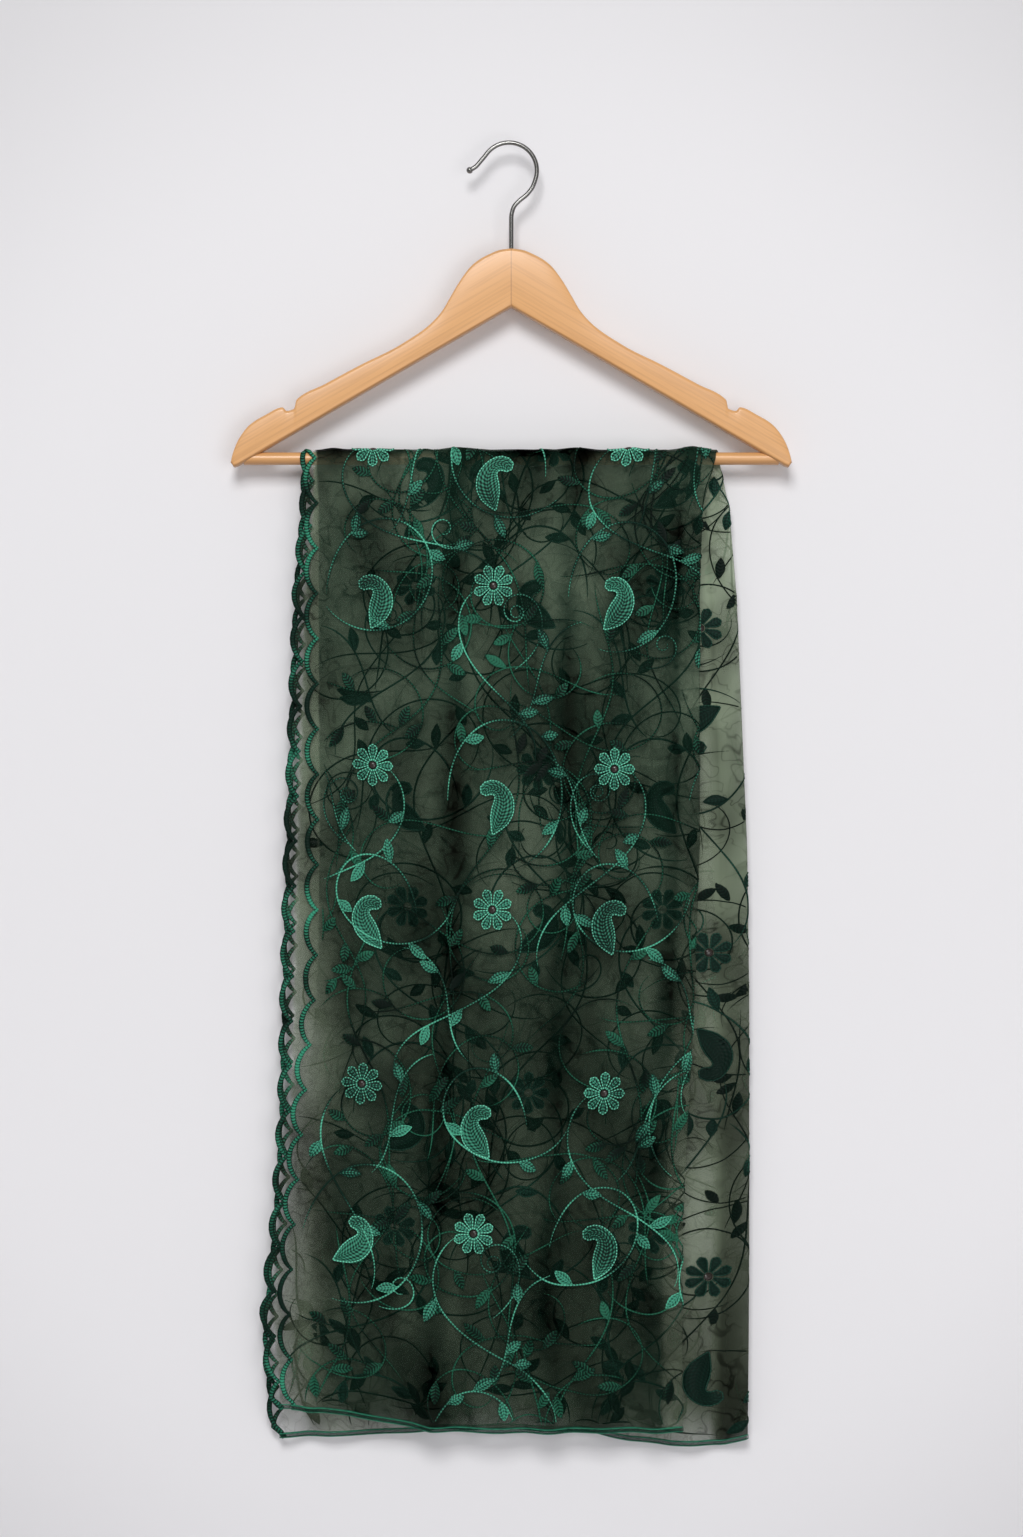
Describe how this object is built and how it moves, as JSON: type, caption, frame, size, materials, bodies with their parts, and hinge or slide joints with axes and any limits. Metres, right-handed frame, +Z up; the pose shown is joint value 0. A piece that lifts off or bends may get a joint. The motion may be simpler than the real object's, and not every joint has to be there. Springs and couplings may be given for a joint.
{
  "type": "dupatta stole on wooden hanger",
  "caption": "Net stole with scalloped edging, folded lengthwise and hung over the bar of a flat wooden hanger with a wire hook.",
  "frame": {"origin": "top of the hook's inside, where a nail or rail carries the hanger", "axes": "+Z up along the hanging cloth, +X to the right seen from the front, +Y to the back"},
  "size_m": [0.4442, 0.036, 1.0373],
  "materials": {
    "wood": "clear satin varnish on beech",
    "steel": "polished wire",
    "net": "sheer net, embroidered",
    "thread": "satin embroidery thread"
  },
  "bodies": {
    "root": {"hanger_arm_left": "wood", "hanger_arm_right": "wood", "trouser_bar": "wood", "hook": "steel", "front_fall": "net", "bar_turn": "net", "back_fall": "net", "front_outer_border": "thread", "front_inner_border": "thread", "back_outer_border": "thread", "back_inner_border": "thread", "front_hem": "thread", "back_hem": "thread"}
  },
  "joints": []
}
